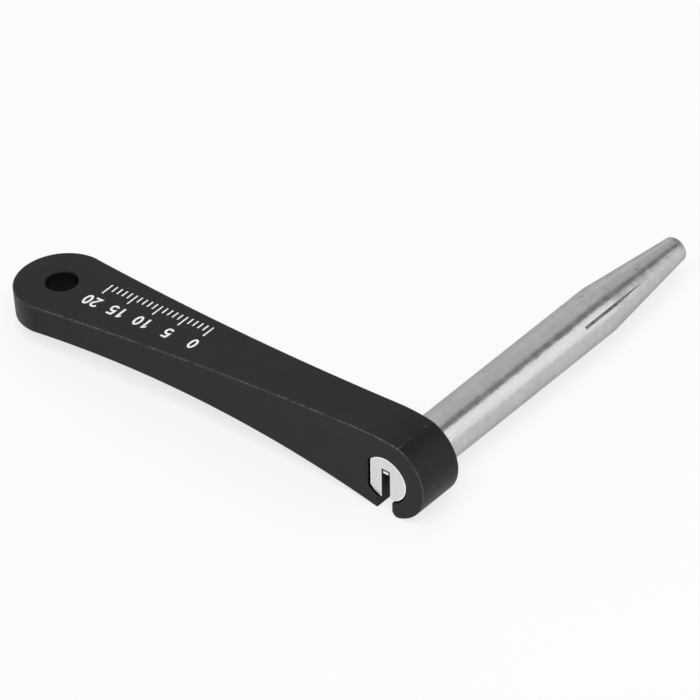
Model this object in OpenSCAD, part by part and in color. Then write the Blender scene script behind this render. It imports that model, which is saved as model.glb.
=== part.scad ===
// Bladed spoke holder: an L-shaped hand tool that keeps a flat spoke from twisting.
// The origin is on the rod's axis where the rod leaves the head. +Y runs to the rod's tip,
// +X runs from the tail to the head, and the slot opens downwards.

/* [Handle] */
// Distance along the flat top from above the rod to the hanging hole
handle_reach = 66.5; // [45:0.1:90]
// Slope of the flat top, falling towards the tail, in degrees
top_slope = 5.35; // [0:0.05:8]
// Wall between the rod and the flat top
top_wall = 3.8; // [3:0.05:5]
// Thickness of the tail at the hanging hole
tail_t = 4.8; // [3.5:0.1:6]
// Radius of the round tail
tail_r = 7.5; // [6:0.1:10]
// Diameter of the hanging hole
hole_d = 5.1; // [3:0.1:8]
// Distance behind the rod at which the sides begin to flare
flare_start = 4.25; // [0:0.25:15]

/* [Head] */
// Thickness of the head, along the rod
head_w = 8.3; // [7:0.1:11]
// Wall of the rounded head around the rod
head_wall = 3; // [2:0.05:3.2]
// Distance of the head's centre in front of the rod's axis
head_lead = 0.4; // [0:0.05:0.8]
// Height of the head's centre above the rod's axis
head_rise = 0.65; // [0:0.05:0.8]
// Distance behind the rod at which the flat top begins to curve down over the head
crown_start = 4; // [2:0.25:10]
// Turn of the crease on top of the head, forward from straight up, in degrees
crease_turn = 18; // [10:0.5:30]
// Wall under the rod at the heel, the sharp corner behind the notch
heel_wall = 1.95; // [1.2:0.05:2.4]
// Room at each side of the slot in the head's notch
notch_side = 0.55; // [0.2:0.05:0.8]
// Radius of the lip in front of the notch
lip_r = 1; // [0.4:0.1:1.2]

/* [Rod] */
// Diameter of the rod
rod_d = 8; // [7:0.1:9]
// Length of the rod's round shank, from the head to the taper
shank_l = 42.5; // [30:0.5:70]
// Length of the tapered tip
taper_l = 19.1; // [12:0.1:26]
// Diameter of the tip's end
tip_d = 4.1; // [3.8:0.1:6]
// Step from the shank down to the seat, the end that sits in the head
seat_step = 0.2; // [0.1:0.05:0.3]
// Depth of the flat that keys the seat
flat_depth = 0.85; // [0.6:0.05:1.4]
// Depth at which the rod's end sits inside the head
end_recess = 0.35; // [0:0.05:1]
// Bevel around the rod's end in the head
end_bevel = 0.1; // [0.1:0.05:0.5]
// Bevel around the tip
tip_bevel = 0.3; // [0.1:0.05:0.5]
// Room around the seat in the head
seat_gap = 0.02; // [0.01:0.01:0.05]

/* [Slot and groove] */
// Width of the slot for the spoke's blade
slot_w = 1.6; // [1:0.1:2]
// Height of the slot's root above the rod's axis
slot_root = 0.8; // [0.5:0.05:1.2]
// Height of the step at the slot's root, at the end in the head
step_h = 0.9; // [0.2:0.05:1]
// Length of that step along the rod
step_l = 0.15; // [0.1:0.05:1]
// Width of the V groove on the shank
groove_w = 0.5; // [0.3:0.05:0.8]
// Depth of the V groove on the shank
groove_depth = 0.88; // [0.3:0.02:1]
// Length of the V groove before the taper
groove_l = 7; // [4:0.1:15]
// Turn of the V groove from straight up towards the head's front, in degrees
groove_turn = 51.5; // [30:0.5:70]

/* [Hidden] */
$fn = 96;
// Facets of the long arcs, which need more than the small circles
long_arc_fn = 256;
// Overshoot of cuts past the faces they open
past = 2;
rod_r = rod_d / 2;
tip_r = tip_d / 2;
seat_r = rod_r - seat_step;
head_r = rod_r + head_wall;
head_centre = [head_lead, head_rise];
top_z = rod_r + top_wall;
half_w = head_w / 2;
flat_x = seat_r - flat_depth;
end_y = end_recess - head_w;
tip_y = shank_l + taper_l;
notch_x = slot_w / 2 + notch_side;
// Depth of stock that reaches below every part of the head
stock_h = top_z + rod_r + head_wall + heel_wall + past;

// A point of the side view, seen from above the rod along the flat top and square to it
function from_top(p) = [
    p.x * cos(top_slope) + (p.y - top_z) * sin(top_slope),
    (p.y - top_z) * cos(top_slope) - p.x * sin(top_slope)
];
// The crown touches the flat top where it begins and meets the head's circle at the crease
crease = head_centre + head_r * [sin(crease_turn), cos(crease_turn)];
crown_run = from_top(crease) + [crown_start, 0];
crown_r = (crown_run * crown_run) / (-2 * crown_run.y);
// The underside is parallel to the top at the hanging hole and ends at the heel
heel_run = from_top([-notch_x, -rod_r - heel_wall]) + [handle_reach, tail_t];
underside_r = (heel_run * heel_run) / (-2 * heel_run.y);
// The flare touches the head's flat sides and bites a little into the round tail, so that the arcs cross
flare_bite = 0.03;
flare_run = handle_reach - flare_start;
neck_r = tail_r - flare_bite;
flare_r = (flare_run * flare_run + half_w * half_w - neck_r * neck_r) / (2 * (neck_r - half_w));
flare_end = -handle_reach + flare_run * neck_r / (flare_r + neck_r);
// The lip's circle touches the notch's wall and the head's circle
lip_x = notch_x + lip_r;
lip_z = head_rise - sqrt(pow(head_r - lip_r, 2) - pow(lip_x - head_lead, 2));
lip_normal = ([lip_x, lip_z] - head_centre) / (head_r - lip_r);

// Places a side view's shapes along the flat top
module along_top() {
    translate([0, top_z]) rotate(top_slope) children();
}

// Places solids on the flat top, square to it, above the rod
module on_top() {
    translate([0, -half_w, top_z]) rotate([0, -top_slope, 0]) children();
}

// Stands a side view up and gives it the width w about the middle of the head
module from_side(w) {
    translate([0, -half_w, 0]) rotate([90, 0, 0]) linear_extrude(w, center = true) children();
}

module rod_seat() {
    difference() {
        circle(r = seat_r + seat_gap);
        translate([-flat_x - seat_gap - rod_d, -rod_d]) square([rod_d, 2 * rod_d]);
    }
}

// What is cut from the corner between the notch's front wall and the head's circle
module lip_corner() {
    difference() {
        polygon([
            [lip_x, lip_z],
            [0, lip_z],
            [0, -head_r - past],
            head_centre + (head_r + past) * lip_normal
        ]);
        translate([lip_x, lip_z]) circle(r = lip_r);
    }
}

module handle_side() {
    difference() {
        union() {
            along_top()
                translate([-handle_reach - tail_r - past, -stock_h])
                    square([handle_reach + tail_r + past - crown_start, stock_h]);
            intersection() {
                along_top() translate([-crown_start, -crown_r]) circle(r = crown_r, $fn = long_arc_fn);
                union() {
                    translate(head_centre) circle(r = head_r);
                    along_top() translate([-crown_start, -stock_h]) square([crown_start + head_lead, stock_h]);
                }
            }
        }
        along_top() translate([-handle_reach, -tail_t - underside_r]) circle(r = underside_r, $fn = long_arc_fn);
        rod_seat();
        translate([-notch_x, -head_r - heel_wall - past]) square([2 * notch_x, head_r + heel_wall + past]);
        lip_corner();
    }
}

// What is cut from one side of the handle: beside the head, along the flare and around the tail
module handle_side_cuts() {
    // Past the end of the stock as well
    reach = tail_r + 2 * past;
    translate([-flare_start, half_w]) square([flare_start + head_lead + head_r + past, reach]);
    intersection() {
        translate([-flare_start, half_w + flare_r]) circle(r = flare_r, $fn = long_arc_fn);
        translate([-handle_reach, half_w]) square([flare_run, reach]);
    }
    difference() {
        translate([-handle_reach - reach, 0]) square([flare_end + handle_reach + reach, half_w + reach]);
        translate([-handle_reach, 0]) circle(r = tail_r);
    }
}

module handle() {
    color([0.2, 0.2, 0.2])
        difference() {
            from_side(2 * tail_r + past) handle_side();
            for (side = [0, 1])
                on_top()
                    mirror([0, side, 0])
                        translate([0, 0, -stock_h]) linear_extrude(stock_h + past) handle_side_cuts();
            on_top() translate([-handle_reach, 0, -stock_h]) cylinder(d = hole_d, h = stock_h + past);
        }
}

// The rod without its flat, slot and groove, turned about its axis
module turned_rod() {
    taper = (rod_r - tip_r) / taper_l;
    rotate([-90, 0, 0])
        rotate_extrude()
            polygon([
                [0, end_y],
                [seat_r - end_bevel, end_y],
                [seat_r, end_y + end_bevel],
                [seat_r, 0],
                [rod_r, 0],
                [rod_r, shank_l],
                [tip_r + taper * tip_bevel, tip_y - tip_bevel],
                [tip_r - tip_bevel, tip_y],
                [0, tip_y]
            ]);
}

// The flat and the bevel on its end
module key_flat() {
    translate([-flat_x - rod_d, end_y - past, -rod_d]) cube([rod_d, past - end_y, 2 * rod_d]);
    translate([0, 0, -rod_d])
        linear_extrude(2 * rod_d)
            polygon([
                [-flat_x - past, end_y - past],
                [-flat_x + end_bevel + past, end_y - past],
                [-flat_x - past, end_y + end_bevel + past]
            ]);
}

module blade_slot() {
    length = tip_y - end_y + 2 * past;
    translate([-slot_w / 2, end_y - past, slot_root - rod_d]) cube([slot_w, length, rod_d]);
    translate([-slot_w / 2, end_y - past, slot_root + step_h - rod_d]) cube([slot_w, past + step_l, rod_d]);
}

module v_groove() {
    flank = groove_w / 2 / groove_depth;
    translate([0, shank_l + taper_l + past, 0])
        rotate([90, groove_turn, 0])
            linear_extrude(groove_l + taper_l + past)
                polygon([
                    [0, rod_r - groove_depth],
                    [flank * (groove_depth + past), rod_r + past],
                    [-flank * (groove_depth + past), rod_r + past]
                ]);
}

module spoke_rod() {
    color([0.78, 0.78, 0.79])
        difference() {
            turned_rod();
            key_flat();
            blade_slot();
            v_groove();
        }
}

handle();
spoke_rod();
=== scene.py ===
"""Bladed spoke holder: a black lever with a slotted steel rod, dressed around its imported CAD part."""

import math

import bmesh
import bpy
import numpy as np
from mathutils import Matrix, Vector
from mathutils.geometry import tessellate_polygon


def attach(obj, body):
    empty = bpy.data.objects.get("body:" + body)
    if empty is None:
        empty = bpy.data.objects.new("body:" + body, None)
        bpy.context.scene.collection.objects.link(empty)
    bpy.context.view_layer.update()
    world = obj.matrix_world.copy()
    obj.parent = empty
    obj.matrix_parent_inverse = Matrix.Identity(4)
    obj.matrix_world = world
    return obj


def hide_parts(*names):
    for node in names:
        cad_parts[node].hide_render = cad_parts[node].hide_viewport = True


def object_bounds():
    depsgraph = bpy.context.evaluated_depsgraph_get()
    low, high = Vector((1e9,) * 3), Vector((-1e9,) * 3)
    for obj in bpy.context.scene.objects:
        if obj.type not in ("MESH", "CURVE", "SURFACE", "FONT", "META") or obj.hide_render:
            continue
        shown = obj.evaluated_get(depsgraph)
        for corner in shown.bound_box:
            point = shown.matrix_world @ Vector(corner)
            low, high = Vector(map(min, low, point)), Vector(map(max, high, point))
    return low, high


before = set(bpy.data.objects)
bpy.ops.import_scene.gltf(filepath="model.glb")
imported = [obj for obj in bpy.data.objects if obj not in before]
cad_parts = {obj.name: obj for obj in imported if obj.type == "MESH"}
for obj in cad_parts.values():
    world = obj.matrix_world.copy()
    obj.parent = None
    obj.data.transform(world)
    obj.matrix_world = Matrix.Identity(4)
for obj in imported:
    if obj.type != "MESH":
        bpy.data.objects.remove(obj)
cad_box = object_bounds()

MM = 0.001

# Lever, in millimetres
HANDLE_REACH = 66.5
TOP_SLOPE = math.radians(5.35)
TOP_WALL = 3.8
TAIL_T = 4.8
TAIL_R = 7.5
HOLE_R = 2.55
FLARE_START = 4.25
FLARE_BITE = 0.03
HEAD_W = 8.3
HEAD_WALL = 3.0
HEAD_CENTRE = np.array([0.4, 0.65])
CROWN_START = 4.0
CREASE_TURN = math.radians(18)
HEEL_WALL = 1.95
NOTCH_SIDE = 0.55
LIP_R = 1.0
# Rod, in millimetres
ROD_R = 4.0
SHANK_L = 42.5
TAPER_L = 19.1
TIP_R = 2.05
TIP_BEVEL = 0.3
SEAT_R = 3.8
SEAT_GAP = 0.02
FLAT_X = 2.95
END_Y = -7.95
END_BEVEL = 0.03
SLOT_HALF = 0.8
SLOT_ROOT = 0.8
SLOT_BREAK = 0.08
STEP_H = 0.9
STEP_L = 0.15
GROOVE_HALF = 0.25
GROOVE_DEPTH = 0.88
GROOVE_L = 7.0
GROOVE_TURN = math.radians(51.5)
# Edge breaks, in millimetres; the guard keeps the faces beside a rim flat
RIM_R = 0.18
RIM_STEPS = 4
RIM_GUARD = 0.07
CORNER_R = 0.3
CORNER_STEPS = 7
# The seat's open mouth in the head, in millimetres: its room, which doubles towards one turn, its depth,
# its edge and the distance from the notch over which it opens
MOUTH_GAP = 0.18
MOUTH_TURN = math.radians(60)
MOUTH_DEPTH = 0.6
MOUTH_RIM = 0.06
MOUTH_FADE = 0.9

# Wear of the lever, from 0 to about 1: at the ends of a rim, and what its middle has beyond that
RIM_WEAR = (0.6, 0.4)
# Share of the outer edges' wear that the edges of the hole, notch and seat show
INSIDE_WEAR = 0.3
# Share of the rims' light line, worn coat and painted highlight in one, that is lost round the head, from the
# crease to the notch
RIM_FADE = 0.5
# Along the crease on top of the head, at its front and back end, and the share of it beside the crease
CREASE_WEAR = (1.1, 0.85)
CREASE_SIDE = 0.65
# Scuffs low on the round of the head: the turn at their middle, their spread and their wear
SCUFF_TURN = math.radians(104)
SCUFF_SPREAD = math.radians(34)
SCUFF_WEAR = 0.85
# Negative wear is painted shade, darkening the seat's mouth and the walls of the notch and the hanging hole
MOUTH_SHADE = -1.0
NOTCH_SHADE = -0.4
HOLE_SHADE = -0.45

# Wear of the rod: on its end face, on the ring around that, which is a painted highlight, along the flat
# beyond the ring's, inside the groove, where it is partly painted light, and on the tip
END_WEAR = 0.5
RING_HIGHLIGHT = 1.0
FLAT_SIDE_HIGHLIGHT = 0.6
GROOVE_TONE_AND_LIGHT = 0.74
TIP_WEAR = 0.3
# Width of the ring of painted highlight, and over which it fades, in millimetres
RING_W = 0.14
RING_FADE = 0.1
# Heights, and widths from its middle, between which painted shade fills the corners of the slot's step,
# and where that middle is, in millimetres
SHADE_HEIGHT = (1.14, 1.25)
SHADE_SIDE = (0.42, 0.52)
STEP_MID = -0.115
# Share of the slot's half width that is clear of its walls, and the least sideways part of a wall's normal
SLOT_CLEAR = 0.99
WALL_NORMAL = 0.7

TOP_Z = ROD_R + TOP_WALL
HALF_W = HEAD_W / 2
HEAD_R = ROD_R + HEAD_WALL
NOTCH_X = SLOT_HALF + NOTCH_SIDE
BORE_R = SEAT_R + SEAT_GAP
BORE_FLAT = FLAT_X + SEAT_GAP
TIP_Y = SHANK_L + TAPER_L
RIM_FULL = RIM_R + RIM_GUARD
# Distance within which a point counts as on a wall
NEAR = 0.01


def from_top(p):
    """A point of the side view (x, z) as (along the flat top, above it)."""
    c, s = math.cos(TOP_SLOPE), math.sin(TOP_SLOPE)
    return np.array([p[0] * c + (p[1] - TOP_Z) * s, (p[1] - TOP_Z) * c - p[0] * s])


def on_top(u, v, w):
    """A point along, across and above the flat top, in the part's frame."""
    c, s = math.cos(TOP_SLOPE), math.sin(TOP_SLOPE)
    return (u * c - w * s, -HALF_W + v, TOP_Z + u * s + w * c)


CREASE = HEAD_CENTRE + HEAD_R * np.array([math.sin(CREASE_TURN), math.cos(CREASE_TURN)])
CROWN_RUN = from_top(CREASE) + [CROWN_START, 0]
CROWN_R = CROWN_RUN @ CROWN_RUN / (-2 * CROWN_RUN[1])
HEEL = np.array([-NOTCH_X, -ROD_R - HEEL_WALL])
HEEL_RUN = from_top(HEEL) + [HANDLE_REACH, TAIL_T]
UNDER_R = HEEL_RUN @ HEEL_RUN / (-2 * HEEL_RUN[1])
FLARE_RUN = HANDLE_REACH - FLARE_START
NECK_R = TAIL_R - FLARE_BITE
FLARE_R = (FLARE_RUN**2 + HALF_W**2 - NECK_R**2) / (2 * (NECK_R - HALF_W))
FLARE_END = -HANDLE_REACH + FLARE_RUN * NECK_R / (FLARE_R + NECK_R)
LIP_X = NOTCH_X + LIP_R
LIP_Z = HEAD_CENTRE[1] - math.sqrt((HEAD_R - LIP_R) ** 2 - (LIP_X - HEAD_CENTRE[0]) ** 2)


def half_width(u):
    """Half the lever's width at u along the flat top, up to the round tail."""
    if u > -FLARE_START:
        return HALF_W
    return HALF_W + FLARE_R - math.sqrt(FLARE_R**2 - (u + FLARE_START) ** 2)


def under(u):
    """Height of the underside at u along the flat top, below which is negative."""
    return -TAIL_T - UNDER_R + math.sqrt(UNDER_R**2 - (u + HANDLE_REACH) ** 2)


def arc(centre, radius, start, end, count):
    """Points of an arc of the side view; angles run from straight up towards the head."""
    return [
        np.array(centre) + radius * np.array([math.sin(t), math.cos(t)])
        for t in np.linspace(start, end, count)
    ]


def straight(start, end, count):
    """Points along a straight line of the side view."""
    return [np.array(start) + (np.array(end) - start) * t for t in np.linspace(0, 1, count)]


class Builder:
    """Collects vertices with their wear and share of a rim, and faces, and makes one closed mesh of them."""

    # Distances, in metres, within which vertices are joined and edges vanish
    WELD = 2e-7
    SLIVER = 1e-8

    def __init__(self):
        self.points, self.wear, self.rim, self.faces = [], [], [], []

    def add(self, point, wear=0.0, rim=0.0):
        self.points.append(point)
        self.wear.append(wear)
        self.rim.append(rim)
        return len(self.points) - 1

    def strips(self, rows, closed=False):
        """Quads between neighbouring rows of vertex numbers; closed joins each row's ends."""
        for a, b in zip(rows, rows[1:]):
            n = len(a)
            for i in range(n if closed else n - 1):
                j = (i + 1) % n
                self.faces.append([a[i], b[i], b[j], a[j]])

    def fill(self, *loops):
        """Triangles across a flat outline and its holes."""
        flat = [i for loop in loops for i in loop]
        tris = tessellate_polygon([[Vector(self.points[i]) for i in loop] for loop in loops])
        self.faces += [[flat[i] for i in t] for t in tris]

    def make(self, name, sharp_degrees):
        """The mesh as an object, smooth but for edges that turn more than the angle."""
        mesh = bpy.data.meshes.new(name)
        mesh.from_pydata([tuple(c * MM for c in p) for p in self.points], [], self.faces)
        for kind, values in (("wear", self.wear), ("rim", self.rim)):
            mesh.attributes.new(kind, "FLOAT", "POINT").data.foreach_set("value", values)
        bm = bmesh.new()
        bm.from_mesh(mesh)
        bmesh.ops.remove_doubles(bm, verts=bm.verts, dist=self.WELD)
        bmesh.ops.dissolve_degenerate(bm, edges=bm.edges, dist=self.SLIVER)
        bmesh.ops.recalc_face_normals(bm, faces=bm.faces)
        bm.to_mesh(mesh)
        bm.free()
        mesh.shade_smooth()
        mesh.set_sharp_from_angle(angle=math.radians(sharp_degrees))
        obj = bpy.data.objects.new(name, mesh)
        bpy.context.scene.collection.objects.link(obj)
        return obj


# The rim's turn from a wall onto a face: share of the radius inwards, share below the face, wear
RIM = [
    (1 - math.cos(t), 1 - math.sin(t), RIM_WEAR[0] + RIM_WEAR[1] * math.sin(2 * t))
    for t in np.linspace(0, math.pi / 2, RIM_STEPS + 1)
]


def rim_rows(builder, steps, place, worn, shade=0.0):
    """One row of vertices across a wall and both its rims, at each step of an outline.

    place(step, inwards, side, below) gives the point on the rim of one side,
    worn is the share of wear that the rims show, and shade is painted shade on the wall, as negative wear."""

    def rim(i, side, turns):
        return [builder.add(place(i, a * RIM_R, side, b * RIM_R), w * worn, worn) for a, b, w in turns]

    rows = []
    for i in steps:
        row = [builder.add(place(i, RIM_FULL, 0, 0.0))]
        row += rim(i, 0, reversed(RIM))
        row += [builder.add(place(i, 0.0, side, RIM_FULL), shade) for side in (0, 1)]
        row += rim(i, 1, RIM)
        row += [builder.add(place(i, RIM_FULL, 1, 0.0))]
        rows.append(row)
    return rows


# Where the arm's plan ends and the head's side view takes over, along the flat top
HEAD_FROM = -6.0
# Steps along the arm's plan and round the hole, the ring of faces around the hole and the arm's length
# from the hole's middle that is filled around that ring
FLARE_STEPS = 42
TAIL_STEPS = 81
HOLE_STEPS = 72
HOLE_RING_R = 4.6
HOLE_AREA = 9.0


def arm_outline():
    """The plan's outline from the head round the tail and back, with its inward normals."""
    stations = np.linspace(HEAD_FROM, FLARE_END, FLARE_STEPS)
    front = [(u, -half_width(u)) for u in stations]
    turn = math.atan2(NECK_R, -(FLARE_END + HANDLE_REACH))
    turns = np.linspace(-turn, turn, TAIL_STEPS)[1:-1]
    tail = [(-HANDLE_REACH - TAIL_R * math.cos(t), TAIL_R * math.sin(t)) for t in turns]
    back = [(u, -v) for u, v in reversed(front)]
    outline = np.array(front + tail + back)
    ahead = np.gradient(outline, axis=0)
    normals = np.stack([ahead[:, 1], -ahead[:, 0]], 1)
    normals /= np.linalg.norm(normals, axis=1)[:, None]
    normals[0], normals[-1] = (0, 1), (0, -1)
    return outline, normals


def add_arm(builder):
    """The arm with its round tail and the hanging hole."""
    outline, normals = arm_outline()
    last = len(outline) - 1

    def place(i, inwards, side, below):
        u, v = outline[i] + normals[i] * inwards
        return on_top(u, v, -below if side == 0 else under(u) + below)

    def hole_place(i, inwards, side, below):
        t = 2 * math.pi * i / HOLE_STEPS
        r = HOLE_R + inwards
        u, v = -HANDLE_REACH + r * math.cos(t), r * math.sin(t)
        return on_top(u, v, -below if side == 0 else under(u) + below)

    rows = rim_rows(builder, range(last + 1), place, 1.0)
    builder.strips(rows)
    hole = rim_rows(builder, range(HOLE_STEPS), hole_place, INSIDE_WEAR, HOLE_SHADE)
    builder.strips(hole + hole[:1])
    # Flat strips across the arm, up to where the area around the hole begins
    cross = next(i for i in range(FLARE_STEPS) if outline[i][0] < -HANDLE_REACH + HOLE_AREA)
    for side, end in ((0, 0), (1, -1)):
        for i in range(cross):
            j = last - i
            builder.faces.append([rows[i][end], rows[i + 1][end], rows[j - 1][end], rows[j][end]])
        ring = [builder.add(hole_place(i, HOLE_RING_R - HOLE_R, side, 0.0)) for i in range(HOLE_STEPS)]
        inner = [row[end] for row in hole]
        builder.strips([inner, ring], closed=True)
        builder.fill([row[end] for row in rows[cross : last - cross + 1]], ring)


def rounded(points, corner, radius):
    """The points with those near one corner replaced by a small curve."""
    c = np.array(points[corner])
    i = corner
    while i > 0 and np.linalg.norm(points[i] - c) < radius:
        i -= 1
    j = corner
    while j < len(points) - 1 and np.linalg.norm(points[j] - c) < radius:
        j += 1
    a = c + (points[i] - c) / np.linalg.norm(points[i] - c) * radius
    b = c + (points[j] - c) / np.linalg.norm(points[j] - c) * radius
    shares = np.linspace(0, 1, CORNER_STEPS)
    curve = [a * (1 - t) ** 2 + 2 * c * t * (1 - t) + b * t**2 for t in shares]
    return points[: i + 1] + curve + points[j:]


# Points along each part of the head's outline
HEAD_STEPS = {
    "top": 5,
    "crown": 24,
    "round": 90,
    "lip": 24,
    "notch_front": 14,
    "seat": 90,
    "seat_flat": 22,
    "seat_low": 12,
    "notch_back": 18,
    "under": 24,
}


def head_outline():
    """The head's side view from the flat top round the head, notch and seat to the underside.

    Gives its points, their inward normals and the places of the crease and of the lip's end."""
    lip = np.array([LIP_X, LIP_Z])
    lip_turn = math.atan2(*(lip - HEAD_CENTRE))
    foot_turn = math.asin(NOTCH_X / BORE_R)
    foot = math.cos(foot_turn) * BORE_R
    flat_turn = math.asin(BORE_FLAT / BORE_R)
    flat_z = math.cos(flat_turn) * BORE_R
    crown_end = math.asin(CROWN_RUN[0] / CROWN_R)
    heel_u = from_top(HEEL)[0]
    steps = HEAD_STEPS
    side_view = [
        arc(HEAD_CENTRE, HEAD_R, CREASE_TURN, lip_turn, steps["round"]),
        arc(lip, LIP_R, lip_turn, 3 * math.pi / 2, steps["lip"]),
        straight((NOTCH_X, LIP_Z), (NOTCH_X, -foot), steps["notch_front"]),
        arc((0, 0), BORE_R, math.pi - foot_turn, -flat_turn, steps["seat"]),
        straight((-BORE_FLAT, flat_z), (-BORE_FLAT, -flat_z), steps["seat_flat"]),
        arc((0, 0), BORE_R, flat_turn - math.pi, foot_turn - math.pi, steps["seat_low"]),
        straight((-NOTCH_X, -foot), HEEL, steps["notch_back"]),
    ]
    parts = [
        [np.array([u, 0.0]) for u in np.linspace(HEAD_FROM, -CROWN_START, steps["top"])],
        arc((-CROWN_START, -CROWN_R), CROWN_R, 0, crown_end, steps["crown"]),
        *[[from_top(p) for p in part] for part in side_view],
        [np.array([u, under(u)]) for u in np.linspace(heel_u, HEAD_FROM, steps["under"])],
    ]
    points, ends = list(parts[0]), {}
    for name, after in zip(steps, parts[1:]):
        ends[name] = len(points) - 1
        points += after[1:]
    # Corners are rounded from the last to the first, so that earlier places stay
    for corner in ("notch_back", "seat_low", "notch_front"):
        points = rounded(points, ends[corner], CORNER_R)
    points = np.array(points)
    ahead = np.diff(points, axis=0)
    side = np.stack([ahead[:, 1], -ahead[:, 0]], 1)
    side /= np.linalg.norm(side, axis=1)[:, None]
    normals = np.zeros_like(points)
    normals[0], normals[-1] = (0, -1), (0, 1)
    pair = side[:-1] + side[1:]
    normals[1:-1] = pair / (1 + np.sum(side[:-1] * side[1:], axis=1))[:, None]
    return points, normals, ends["crown"], ends["lip"]


def add_head(builder):
    """The head with its notch and the rod's seat, whose front end is an open mouth."""
    points, normals, crease, notch = head_outline()
    last = len(points) - 1
    axis = from_top((0, 0))

    def mouth(i):
        """Room of the seat's mouth at one step of the outline, none outside the seat."""
        p = points[i] - axis
        if np.linalg.norm(p) > BORE_R + NEAR:
            return 0.0
        turn = math.atan2(p[0], p[1]) + TOP_SLOPE
        from_notch = math.hypot(abs(p[0]) - NOTCH_X, p[1] + BORE_R) / MOUTH_FADE
        return MOUTH_GAP * (1 + max(math.cos(turn - MOUTH_TURN), 0.0)) * min(from_notch, 1.0)

    def in_notch(i):
        """Whether one step of the outline lies on a wall of the notch."""
        p = points[i] - axis
        x = p[0] * math.cos(TOP_SLOPE) - p[1] * math.sin(TOP_SLOPE)
        return i > notch and abs(abs(x) - NOTCH_X) < NEAR

    def scuff(i):
        """Wear on the round of the head."""
        p = points[i] - from_top(HEAD_CENTRE)
        off = (math.atan2(p[0], p[1]) + TOP_SLOPE - SCUFF_TURN) / SCUFF_SPREAD
        return SCUFF_WEAR * max(1 - off**2, 0.0) if crease < i < notch else 0.0

    def place(i, inwards, side, below):
        """A point on the rim of one side; here the wall is the outline and the faces are the cheeks."""
        u, w = points[i] + normals[i] * below
        v = half_width(u) - inwards
        return on_top(u, -v if side == 0 else v, w)

    rows = []
    for i in range(last + 1):
        if i < notch:
            worn = 1.0
            line = 1 - RIM_FADE * max(i - crease, 0) / (notch - crease)
        else:
            worn = line = INSIDE_WEAR
        room = mouth(i)
        rim = MOUTH_RIM if room else RIM_R
        # Painted shade, as negative wear, on the notch's walls and in the seat's mouth; the scuffs are wear
        shade = NOTCH_SHADE if in_notch(i) else 0.0
        front_wear_and_shade = MOUTH_SHADE if room else shade or scuff(i)
        # Where the head joins the arm, nothing lies between the two rims
        deep = MOUTH_DEPTH if 0 < i < last else RIM_FULL
        row = [builder.add(place(i, 0.0, 0, RIM_FULL + room))]
        row += [builder.add(place(i, a * rim, 0, b * rim + room), w * worn, line) for a, b, w in RIM]
        for inwards, below in ((RIM_FULL, room), (deep, room), (deep, 0.0)):
            row.append(builder.add(place(i, inwards, 0, below), front_wear_and_shade))
        row.append(builder.add(place(i, RIM_FULL, 1, 0.0), shade))
        for a, b, w in reversed(RIM):
            row.append(builder.add(place(i, a * RIM_R, 1, b * RIM_R), w * worn, line))
        row.append(builder.add(place(i, 0.0, 1, RIM_FULL)))
        rows.append(row)
    # The crease is worn between its two rims, where a row has three vertices at its front and one at its back
    between = 1 + len(RIM)
    front_wear, back_wear = CREASE_WEAR
    for k, wear in enumerate((front_wear, front_wear, front_wear, back_wear)):
        for step, share in ((-1, CREASE_SIDE), (0, 1.0), (1, CREASE_SIDE)):
            builder.wear[rows[crease + step][between + k]] = wear * share
    builder.strips(rows)
    builder.fill([row[0] for row in rows])
    builder.fill([row[-1] for row in rows])


def make_lever():
    builder = Builder()
    add_arm(builder)
    add_head(builder)
    return builder.make("lever", sharp_degrees=35)


# Points along a rod section, beside the groove's four: its right side, its top, its flat and its left side
RIGHT_STEPS = 44
OVER_STEPS = 36
FLAT_STEPS = 32
LEFT_STEPS = 14
# Points of a section that go round the slot, and where the groove's three inner points are
SLOT_POINTS = 4
GROOVE_POINTS = slice(RIGHT_STEPS, RIGHT_STEPS + 3)
# Sections along the shank, the groove, the groove's end on the taper, the rest of the taper
# and the tip's bevel
SHANK_STEPS = 19
GROOVE_STEPS = 6
GROOVE_END_STEPS = 9
TAPER_STEPS = 10
TIP_STEPS = 5
# Depth at which the groove ends
GROOVE_LEAST = 1e-4


def rod_section(y, radius, flat=None, roof=SLOT_ROOT, groove=None):
    """One closed ring of the rod, from the slot's right lip over the top to its left lip and round the slot.

    flat is the flat's distance from the axis, roof the slot's height and groove the groove's depth."""
    lip = math.asin((SLOT_HALF + SLOT_BREAK) / radius)
    depth = groove or 0.0
    half = GROOVE_HALF * (depth / GROOVE_DEPTH if groove is not None else 1.0)
    spread = math.asin(half / radius)
    key = math.asin(FLAT_X / SEAT_R) if flat is None else math.asin(flat / radius)

    def on_round(t, dip=0.0):
        return ((radius - dip) * math.sin(t), y, (radius - dip) * math.cos(t))

    ring = [on_round(t) for t in np.linspace(math.pi - lip, GROOVE_TURN + spread, RIGHT_STEPS)[:-1]]
    for share, dip in ((1.0, 0.0), (0.5, depth / 2), (0.0, depth), (-0.5, depth / 2)):
        ring.append(on_round(GROOVE_TURN + spread * share, dip))
    ring += [on_round(t) for t in np.linspace(GROOVE_TURN - spread, -key, OVER_STEPS)[:-1]]
    if flat is None:
        ring += [on_round(t) for t in np.linspace(-key, key - math.pi, FLAT_STEPS)[:-1]]
    else:
        top = radius * math.cos(key)
        ring += [(-flat, y, z) for z in np.linspace(top, -top, FLAT_STEPS)[:-1]]
    ring += [on_round(t) for t in np.linspace(key - math.pi, lip - math.pi, LEFT_STEPS)]
    foot = -math.sqrt(radius**2 - SLOT_HALF**2) + SLOT_BREAK
    ring += [(-SLOT_HALF, y, foot), (-SLOT_HALF, y, roof), (SLOT_HALF, y, roof), (SLOT_HALF, y, foot)]
    return ring


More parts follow.
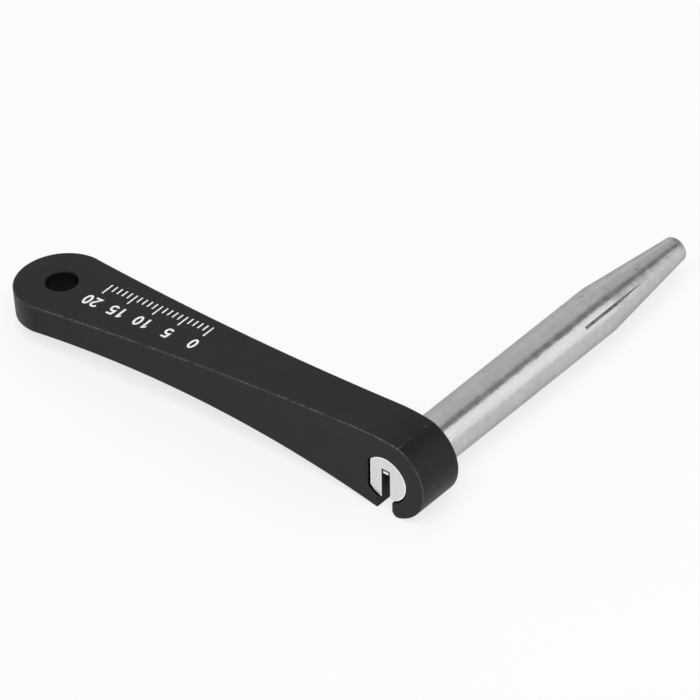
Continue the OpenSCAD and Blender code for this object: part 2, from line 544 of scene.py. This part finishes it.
def rod_sections():
    """The rod's rings from its end in the head to its tip; the first three lie on the end face."""
    taper = (ROD_R - TIP_R) / TAPER_L
    groove_from = SHANK_L - GROOVE_L
    groove_to = SHANK_L + GROOVE_DEPTH / taper
    step_y = END_Y + STEP_L
    high = SLOT_ROOT + STEP_H

    def cone_r(y):
        return ROD_R - (y - SHANK_L) * taper

    sections = [
        rod_section(END_Y, SEAT_R - inset, FLAT_X - inset, high)
        for inset in (END_BEVEL + RING_W + RING_FADE, END_BEVEL + RING_W, END_BEVEL)
    ]
    sections += [
        rod_section(END_Y + END_BEVEL, SEAT_R, FLAT_X, high),
        rod_section(step_y, SEAT_R, FLAT_X, high),
        rod_section(step_y, SEAT_R, FLAT_X),
        rod_section(0, SEAT_R, FLAT_X),
    ]
    for y in np.linspace(0, groove_from, SHANK_STEPS):
        sections.append(rod_section(y, ROD_R))
    for y in np.linspace(groove_from, SHANK_L, GROOVE_STEPS):
        sections.append(rod_section(y, ROD_R, groove=GROOVE_DEPTH))
    for y in np.linspace(SHANK_L, groove_to, GROOVE_END_STEPS)[1:]:
        depth = cone_r(y) - (ROD_R - GROOVE_DEPTH)
        sections.append(rod_section(y, cone_r(y), groove=max(depth, GROOVE_LEAST)))
    for y in np.linspace(groove_to, TIP_Y - TIP_BEVEL, TAPER_STEPS)[1:]:
        sections.append(rod_section(y, cone_r(y)))
    for t in np.linspace(0, math.pi / 2, TIP_STEPS)[1:]:
        y = TIP_Y - TIP_BEVEL * (1 - math.sin(t))
        sections.append(rod_section(y, TIP_R - TIP_BEVEL * (1 - math.cos(t))))
    return sections


def make_rod():
    builder = Builder()
    rows = [[builder.add(p) for p in section] for section in rod_sections()]

    def from_axis(i):
        return math.hypot(builder.points[i][0], builder.points[i][2])

    # The slot has one edge on the end face
    face, ring_inner, ring_outer, bevel = rows[:4]
    for row in (face, ring_inner):
        for a, b in zip(row[-SLOT_POINTS:], ring_outer[-SLOT_POINTS:]):
            builder.points[a] = builder.points[b]
    for row in (face, ring_inner, ring_outer, bevel):
        for i in row:
            to_flat = min(max(-builder.points[i][0] / FLAT_X, 0.0), 1.0)
            builder.wear[i] = RING_HIGHLIGHT + FLAT_SIDE_HIGHLIGHT * to_flat
        # Neither the face inside the ring nor the slot gets the painted highlight
        for i in row if row is face else row[-SLOT_POINTS:]:
            builder.wear[i] = END_WEAR
    for i in rows[-1]:
        builder.wear[i] = TIP_WEAR
    # The groove's inside is lighter: cut metal, and painted light against the groove's own shade
    for row in rows:
        for i in row[GROOVE_POINTS]:
            if from_axis(i) < from_axis(row[0]) - NEAR:
                builder.wear[i] = GROOVE_TONE_AND_LIGHT
    builder.strips(rows, closed=True)
    builder.fill(rows[0])
    builder.fill(rows[-1])
    return builder.make("rod", sharp_degrees=25)


# Marking on the flat top, in millimetres: a plain rule, read from the back, with a number at each fifth mark
RULE_FROM = -39.3
RULE_LONG = 20
NUMBERED = 5
TICK_W = 0.26
TICK_EDGE = 3.5
TICK_INNER = {True: 1.0, False: 2.1}
DIGIT_H = 2.35
DIGIT_BASE = -0.15
INK_UP = 0.012
INK_DOWN = -0.008
# In digit heights: from digit to digit, from a number's middle to its mark and the width of a stroke
DIGIT_PITCH = 0.68
DIGIT_SHIFT = 0.05
STROKE = 0.165
# Least share by which a bend divides the width of its stroke
LEAST_BEND = 0.5


def ribbon(line, closed=False):
    """Outline of a stroke along a line of points, in digit heights; closed gives a ring's two edges."""
    line = np.array(line)
    ahead = np.roll(line, -1, 0) - line
    if not closed:
        ahead[-1] = ahead[-2]
    ahead /= np.linalg.norm(ahead, axis=1)[:, None]
    back = np.roll(ahead, 1, 0)
    if not closed:
        back[0] = ahead[0]
    side = np.stack([-(ahead + back)[:, 1], (ahead + back)[:, 0]], 1)
    side /= np.maximum(1 + np.sum(ahead * back, axis=1), LEAST_BEND)[:, None]
    left, right = line + side * STROKE / 2, line - side * STROKE / 2
    return (left, right) if closed else (np.concatenate([left, right[::-1]]),)


def bow(centre, radii, start, end, count):
    """Points along part of an ellipse, in degrees from its right."""
    return [
        (centre[0] + radii[0] * math.cos(t), centre[1] + radii[1] * math.sin(t))
        for t in np.radians(np.linspace(start, end, count))
    ]


DIGITS = {
    "0": ribbon(bow((0.29, 0.5), (0.2, 0.42), 0, 348.75, 32), closed=True),
    "1": (np.array([(0.23, 0), (0.4, 0), (0.4, 1), (0.28, 1), (0.08, 0.84), (0.08, 0.68), (0.23, 0.79)]),),
    "2": ribbon(bow((0.29, 0.7), (0.21, 0.22), 165, -30, 18) + [(0.1, 0.085), (0.56, 0.085)]),
    "5": ribbon([(0.52, 0.92), (0.14, 0.92), (0.1, 0.53)] + bow((0.28, 0.33), (0.22, 0.25), 110, -150, 20)),
}


def add_ink(builder, *loops):
    """A thin closed solid of ink on the flat top, over an outline and its hole, in (u, v)."""
    edges = [
        [[builder.add(on_top(u, v, w)) for u, v in loop] for w in (INK_DOWN, INK_UP)] for loop in loops
    ]
    for edge in edges:
        builder.strips(edge, closed=True)
    for level in (0, 1):
        builder.fill(*[edge[level] for edge in edges])


def make_marking():
    builder = Builder()
    for mark in range(RULE_LONG + 1):
        u = RULE_FROM - mark
        numbered = mark % NUMBERED == 0
        inner = TICK_INNER[numbered]
        a, b = u - TICK_W / 2, u + TICK_W / 2
        add_ink(builder, [(a, inner), (b, inner), (b, TICK_EDGE), (a, TICK_EDGE)])
        number = str(mark) if numbered else ""
        for k, digit in enumerate(number):
            shift = (k - len(number) / 2) * DIGIT_PITCH + DIGIT_SHIFT
            loops = [
                [(u - (x + shift) * DIGIT_H, DIGIT_BASE - y * DIGIT_H) for x, y in loop]
                for loop in DIGITS[digit]
            ]
            add_ink(builder, *loops)
    return builder.make("marking", sharp_degrees=35)


lever = make_lever()
rod = make_rod()
marking = make_marking()

for obj, node, slot in (
    (lever, "handle", "black_anodised"),
    (rod, "spoke_rod", "satin_steel"),
    (marking, None, "white_ink"),
):
    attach(obj, "root")
    if node:
        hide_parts(node)


class Nodes:
    """A short way to add and link shader nodes."""

    def __init__(self, tree):
        self.tree = tree

    def put(self, socket, value):
        """Links a socket to another's output, or sets it to a constant."""
        if isinstance(value, bpy.types.NodeSocket):
            self.tree.links.new(value, socket)
        else:
            socket.default_value = value

    def add(self, kind, sockets=None, **settings):
        node = self.tree.nodes.new(kind)
        for name, value in settings.items():
            setattr(node, name, value)
        for name, value in (sockets or {}).items():
            self.put(node.inputs[name], value)
        return node

    def attribute(self, name):
        return self.add("ShaderNodeAttribute", attribute_name=name).outputs["Fac"]

    def noise(self, coords, scale, detail=2.0, roughness=0.5):
        sockets = {"Vector": coords, "Scale": scale, "Detail": detail, "Roughness": roughness}
        return self.add("ShaderNodeTexNoise", sockets).outputs["Fac"]

    def stretched_noise(self, coords, scales, detail, roughness):
        """Noise with a scale of its own along each axis."""
        sockets = {"Vector": coords, "Scale": scales}
        stretched = self.add("ShaderNodeMapping", sockets).outputs["Vector"]
        return self.noise(stretched, 1.0, detail, roughness)

    def ramp(self, value, span, to=(0.0, 1.0)):
        """The value, smoothly from one span to another and held outside it."""
        sockets = {"Value": value, "From Min": span[0], "From Max": span[1], "To Min": to[0], "To Max": to[1]}
        node = self.add("ShaderNodeMapRange", sockets, interpolation_type="SMOOTHSTEP")
        return node.outputs["Result"]

    def math(self, operation, a, b=0.0):
        return self.add("ShaderNodeMath", {0: a, 1: b}, operation=operation).outputs[0]

    def mix(self, share, a, b):
        """Colour a where the share is 0 and colour b where it is 1."""
        node = self.add("ShaderNodeMix", data_type="RGBA")
        for socket, value in zip((node.inputs[0], node.inputs[6], node.inputs[7]), (share, a, b)):
            self.put(socket, value)
        return node.outputs[2]

    def bump(self, height, strength, distance, normal=None):
        sockets = {"Height": height, "Strength": strength, "Distance": distance}
        if normal is not None:
            sockets["Normal"] = normal
        return self.add("ShaderNodeBump", sockets).outputs["Normal"]

    def axes(self, vector):
        return self.add("ShaderNodeSeparateXYZ", {"Vector": vector}).outputs


def grey(level, warm=0.0):
    """A grey colour, a little warm or cold."""
    return (level * (1 + warm), level, level * (1 - warm), 1.0)


def new_material(name):
    """A material with its node helper, its shader and its object coordinates, in metres."""
    material = bpy.data.materials.new(name)
    material.use_nodes = True
    nodes = Nodes(material.node_tree)
    shader = material.node_tree.nodes["Principled BSDF"]
    coords = nodes.add("ShaderNodeTexCoord").outputs["Object"]
    return material, nodes, shader, coords


def dress(nodes, shader, **sockets):
    """Sets or links the shader's inputs, whose names have underscores here."""
    for name, value in sockets.items():
        nodes.put(shader.inputs[name.replace("_", " ")], value)


def black_anodised():
    dark, pale, dust = grey(0.0066, 0.01), grey(0.0088, 0.01), grey(0.021)
    worn_rim_and_highlight, bare, painted_shade_black = grey(0.06, 0.01), grey(0.12, 0.01), grey(0.001)
    material, n, shader, coords = new_material("black_anodised")
    wear = n.attribute("wear")
    cloud = n.noise(coords, scale=240, detail=4)
    grain = n.noise(coords, scale=5200, detail=3, roughness=0.65)
    body = n.mix(n.ramp(cloud, (0.3, 0.7)), dark, pale)
    body = n.mix(n.ramp(grain, (0.52, 0.8), (0.0, 0.35)), body, dust)
    # The coat is thin along the rims, and the lighter line there is also a painted highlight
    ragged = n.ramp(n.noise(coords, scale=2100, detail=3, roughness=0.65), (0.36, 0.6), (0.22, 1.0))
    line = n.math("MULTIPLY", n.ramp(n.attribute("rim"), (0.4, 1.0)), ragged)
    body = n.mix(line, body, worn_rim_and_highlight)
    # Bare chips where the wear is high
    chips = n.noise(coords, scale=1500, detail=3, roughness=0.6)
    patches = n.ramp(n.noise(coords, scale=240), (0.36, 0.62), (0.75, 1.1))
    worn = n.math("MULTIPLY", n.math("MULTIPLY", wear, patches), 0.45)
    rubbed = n.ramp(n.math("ADD", chips, worn), (0.86, 1.1))
    colour = n.mix(rubbed, body, bare)
    # Painted shade where the wear is negative: near black and with little specular, in the seat's mouth, the
    # notch and the hole
    painted_shade = n.ramp(n.math("MULTIPLY", wear, -1.0), (0.1, 0.7))
    colour = n.mix(painted_shade, colour, painted_shade_black)
    polish = n.math("MULTIPLY", rubbed, 0.12)
    normal = n.bump(cloud, strength=0.12, distance=0.1 * MM)
    normal = n.bump(grain, strength=0.22, distance=0.012 * MM, normal=normal)
    dress(
        n,
        shader,
        Base_Color=colour,
        Roughness=n.math("SUBTRACT", n.ramp(grain, (0.3, 0.7), (0.44, 0.54)), polish),
        Specular_IOR_Level=n.ramp(painted_shade, (0.0, 1.0), (0.5, 0.05)),
        IOR=1.31,
        Normal=normal,
    )
    return material


def slot_grime(n, coords):
    """Where the slot has its step, and where painted shade darkens the slot's walls and the step's corners,
    each from 0 to 1.
    """
    at = n.axes(coords)
    facing = n.axes(n.add("ShaderNodeNewGeometry").outputs["True Normal"])
    across = n.math("ABSOLUTE", at["X"])
    # The sawn walls, painted dark as shade
    wall = n.math(
        "MULTIPLY",
        n.math("LESS_THAN", across, (SLOT_HALF + SLOT_BREAK) * MM),
        n.math("GREATER_THAN", n.math("ABSOLUTE", facing["X"]), WALL_NORMAL),
    )
    # The step, from half its length to twice its length behind the end face, clear of the walls
    inside = n.math("GREATER_THAN", at["Y"], (END_Y + STEP_L / 2) * MM)
    near = n.math("LESS_THAN", at["Y"], (END_Y + STEP_L * 2) * MM)
    clear = n.math("LESS_THAN", across, SLOT_HALF * SLOT_CLEAR * MM)
    step = n.math("MULTIPLY", n.math("MULTIPLY", inside, near), clear)
    from_mid = n.math("ABSOLUTE", n.math("SUBTRACT", at["X"], STEP_MID * MM))
    corner = n.math(
        "MAXIMUM",
        n.ramp(at["Z"], [h * MM for h in SHADE_HEIGHT]),
        n.ramp(from_mid, [w * MM for w in SHADE_SIDE]),
    )
    return step, n.math("MAXIMUM", wall, n.math("MULTIPLY", step, corner))


def satin_steel():
    dull, clean, stain, turning = grey(0.49, 0.004), grey(0.57, 0.004), grey(0.47, 0.004), grey(0.40)
    pit, ground, painted_highlight, slot_shade_black = grey(0.16), grey(0.74), grey(0.97), grey(0.03)
    material, n, shader, coords = new_material("satin_steel")
    wear = n.attribute("wear")
    turned = n.stretched_noise(coords, (60, 2600, 60), detail=4, roughness=0.6)
    mottle = n.stretched_noise(coords, (420, 700, 420), detail=4, roughness=0.6)
    blotch = n.stretched_noise(coords, (300, 210, 300), detail=3, roughness=0.6)
    dents = n.stretched_noise(coords, (230, 170, 230), detail=3, roughness=0.55)
    grain = n.noise(coords, scale=6500, detail=2, roughness=0.6)
    pits = n.noise(coords, scale=620, detail=1, roughness=0.3)
    body = n.mix(n.ramp(mottle, (0.3, 0.7)), dull, clean)
    body = n.mix(n.ramp(blotch, (0.38, 0.68), (0.0, 0.45)), body, stain)
    body = n.mix(n.ramp(turned, (0.35, 0.75), (0.0, 0.1)), body, turning)
    body = n.mix(n.ramp(pits, (0.765, 0.79), (0.0, 0.55)), body, pit)
    bright = n.mix(n.ramp(wear, (0.0, 0.5)), body, ground)
    bright = n.mix(n.ramp(wear, (0.6, 0.95)), bright, painted_highlight)
    step, slot_shade = slot_grime(n, coords)
    # The step's face is painted near white, a painted highlight
    bright = n.mix(step, bright, painted_highlight)
    # Painted shade, a little uneven, on the slot's walls and in the corners of its step
    cover = n.math("MULTIPLY", slot_shade, n.ramp(mottle, (0.2, 0.8), (0.86, 0.98)))
    normal = n.bump(dents, strength=1.0, distance=0.13 * MM)
    normal = n.bump(turned, strength=0.045, distance=0.02 * MM, normal=normal)
    normal = n.bump(mottle, strength=0.10, distance=0.06 * MM, normal=normal)
    normal = n.bump(grain, strength=0.10, distance=0.01 * MM, normal=normal)
    matt = n.math("MULTIPLY", slot_shade, 0.3)
    dress(
        n,
        shader,
        Base_Color=n.mix(cover, bright, slot_shade_black),
        # Along the flat the ring of painted highlight is less metallic, so it scatters the light and stays
        # bright
        Metallic=n.ramp(wear, (1.05, 1.5), (1.0, 0.15)),
        Roughness=n.math("ADD", n.ramp(mottle, (0.25, 0.75), (0.23, 0.31)), matt),
        Specular_Tint=grey(0.55),
        Anisotropic=0.55,
        Anisotropic_Rotation=0.25,
        Tangent=n.add("ShaderNodeTangent", direction_type="RADIAL", axis="Y").outputs["Tangent"],
        Normal=normal,
    )
    return material


def white_ink():
    sparse, full = grey(0.74, 0.01), grey(0.9, 0.01)
    material, n, shader, coords = new_material("white_ink")
    cover = n.noise(coords, scale=1300, detail=4, roughness=0.6)
    grain = n.noise(coords, scale=5200, detail=3, roughness=0.65)
    dress(
        n,
        shader,
        Base_Color=n.mix(n.ramp(cover, (0.25, 0.55)), sparse, full),
        Roughness=n.ramp(grain, (0.3, 0.7), (0.5, 0.62)),
        Normal=n.bump(grain, strength=0.2, distance=0.01 * MM),
    )
    return material


lever.data.materials.append(black_anodised())
rod.data.materials.append(satin_steel())
marking.data.materials.append(white_ink())

# Floor, in metres, and the share of its tone that is plain white where it is seen
FLOOR_R = 6.0
FLOOR_EDGES = 96
FLOOR_GAP = 0.00005
WHITE_SHARE = 0.75


def make_floor():
    """A plain pale floor under the lowest point, far wider than any view."""
    bm = bmesh.new()
    bmesh.ops.create_circle(bm, cap_ends=True, segments=FLOOR_EDGES, radius=FLOOR_R)
    mesh = bpy.data.meshes.new("floor")
    bm.to_mesh(mesh)
    bm.free()
    floor = bpy.data.objects.new("floor", mesh)
    floor.location.z = cad_box[0].z - FLOOR_GAP
    bpy.context.scene.collection.objects.link(floor)
    material, n, shader, coords = new_material("pale_floor")
    tone = n.ramp(n.noise(coords, scale=30), (0.3, 0.7))
    dress(n, shader, Base_Color=n.mix(tone, grey(0.91), grey(0.93)), Roughness=0.9, IOR=1.1)
    # Where it is seen straight, in a reflection or through something
    path = n.add("ShaderNodeLightPath").outputs
    seen = n.math("ADD", path["Is Camera Ray"], path["Is Glossy Ray"])
    seen = n.math("MINIMUM", n.math("ADD", seen, path["Is Transmission Ray"]), 1.0)
    white = n.add("ShaderNodeEmission", {"Strength": 1.0}).outputs["Emission"]
    share = n.math("MULTIPLY", seen, WHITE_SHARE)
    blend = n.add("ShaderNodeMixShader", {0: share, 1: shader.outputs["BSDF"], 2: white})
    out = material.node_tree.nodes["Material Output"]
    n.put(out.inputs["Surface"], blend.outputs["Shader"])
    mesh.materials.append(material)


def panel(name, turn, lean, distance, span, radiance):
    """A flat lamp that faces the object.

    turn goes round the rod from straight up towards the head, lean from the rod's tip towards its end,
    and span is how wide and how high the lamp is seen from the object, all in degrees."""
    t, p = math.radians(turn), math.radians(lean)
    way = Vector((math.sin(t) * math.sin(p), math.cos(p), math.cos(t) * math.sin(p)))
    across = Vector((math.cos(t), 0, -math.sin(t)))
    reach = distance * math.sin(p), distance
    size = [2 * r * math.tan(math.radians(a) / 2) for r, a in zip(reach, span)]
    lamp = bpy.data.lights.new(name, "AREA")
    lamp.shape = "RECTANGLE"
    lamp.size, lamp.size_y = size
    lamp.energy = radiance * math.pi * size[0] * size[1]
    obj = bpy.data.objects.new(name, lamp)
    turned = Matrix((across, way.cross(across), way)).transposed()
    obj.matrix_world = Matrix.Translation(way * distance) @ turned.to_4x4()
    bpy.context.scene.collection.objects.link(obj)


# Tones of the world low down and overhead, and the heights between which one turns into the other
WORLD_LOW = grey(0.63)
WORLD_HIGH = grey(0.25)
WORLD_SPAN = (0.15, 0.5)


def make_world():
    """Pale low down, all round, and a darker ceiling."""
    world = bpy.data.worlds.new("studio")
    world.use_nodes = True
    n = Nodes(world.node_tree)
    height = n.axes(n.add("ShaderNodeTexCoord").outputs["Generated"])["Z"]
    background = world.node_tree.nodes["Background"]
    n.put(background.inputs["Strength"], 1.0)
    n.put(background.inputs["Color"], n.mix(n.ramp(height, WORLD_SPAN), WORLD_LOW, WORLD_HIGH))
    bpy.context.scene.world = world


make_floor()
make_world()
panel("key", turn=15, lean=114, distance=2.0, span=(42, 39), radiance=4.6)
# Soft panels beyond the rod's tip, side by side: turn, width and height as seen, radiance
for name, turn, span, radiance in (
    ("left_low", -79, (26.5, 42), 0.3),
    ("left_panel", -39.5, (48.4, 42), 0.55),
    ("left_wing", -4.25, (18.4, 42), 0.46),
    ("right_panel", 49.5, (31, 30), 1.42),
    ("right_wing", 70.5, (8.8, 30), 1.04),
    ("right_side", 79.5, (8.4, 30), 0.94),
    ("right_low", 88, (7.6, 30), 0.74),
):
    panel(name, turn, lean=57, distance=0.9, span=span, radiance=radiance)

# Camera, as found from the photograph's perspective
CAMERA_AT = Vector((646.003, -786.182, 853.473)) * MM
CAMERA_RIGHT = Vector((0.772158, 0.635331, -0.011301))
CAMERA_DOWN = Vector((0.396000, -0.495040, -0.773382))
CAMERA_AHEAD = Vector((-0.496947, 0.592697, -0.633840))
# Focal length in widths of the picture, and the sensor's width in millimetres
FOCAL_WIDTHS = 9000 / 700
SENSOR_W = 36


def make_camera():
    camera = bpy.data.objects.new("camera", bpy.data.cameras.new("camera"))
    bpy.context.scene.collection.objects.link(camera)
    camera.data.sensor_width = SENSOR_W
    camera.data.lens = SENSOR_W * FOCAL_WIDTHS
    camera.data.clip_start, camera.data.clip_end = 0.01, 100
    turned = Matrix((CAMERA_RIGHT, -CAMERA_DOWN, -CAMERA_AHEAD)).transposed()
    camera.matrix_world = Matrix.Translation(CAMERA_AT) @ turned.to_4x4()
    bpy.context.scene.camera = camera


make_camera()
bpy.context.scene.view_settings.view_transform = "Standard"
